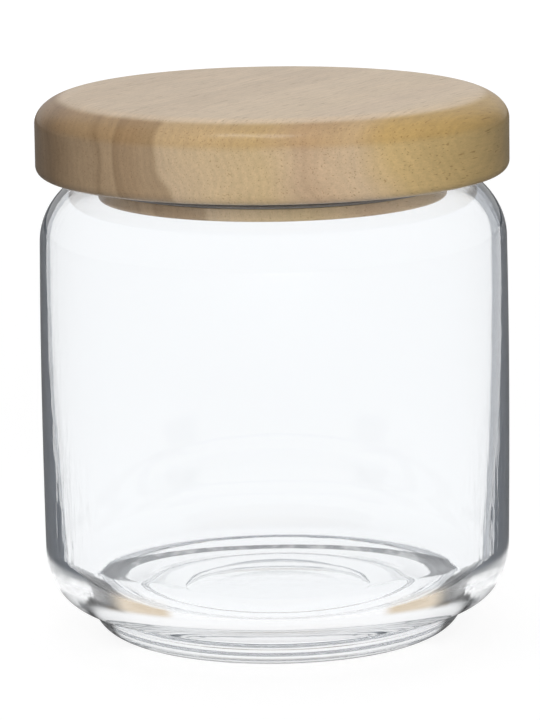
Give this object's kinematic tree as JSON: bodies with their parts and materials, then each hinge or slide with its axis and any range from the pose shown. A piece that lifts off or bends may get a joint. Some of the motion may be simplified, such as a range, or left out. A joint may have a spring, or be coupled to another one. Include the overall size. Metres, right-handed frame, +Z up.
{
  "type": "glass storage jar with wooden lid",
  "caption": "Clear glass storage jar with a rounded shoulder and a stepped stacking foot, closed by a turned solid wood plug lid with a finned silicone seal.",
  "frame": {"origin": "centre of the foot's rest plane, on the jar's axis", "axes": "+Z up along the axis of the jar and lid; the picture looks along +Y from a little above, with +X to the right"},
  "size_m": [0.1, 0.1, 0.1157],
  "materials": {
    "clear_glass": "gloss",
    "lacquered_wood": "satin",
    "clear_silicone": "satin"
  },
  "bodies": {
    "jar": {"glass_jar": "clear_glass"},
    "seal": {"seal_ring": "clear_silicone"},
    "lid": {"wooden_lid": "lacquered_wood"}
  },
  "joints": [
    {"name": "lid_lift", "type": "slide", "parent": "jar", "child": "seal", "axis": [0, 0, 1], "range_m": [0, 0.06]},
    {"name": "lid_turn", "type": "hinge", "parent": "seal", "child": "lid", "pos_m": [0, 0, 0.09893], "axis": [0, 0, 1], "continuous": true}
  ]
}
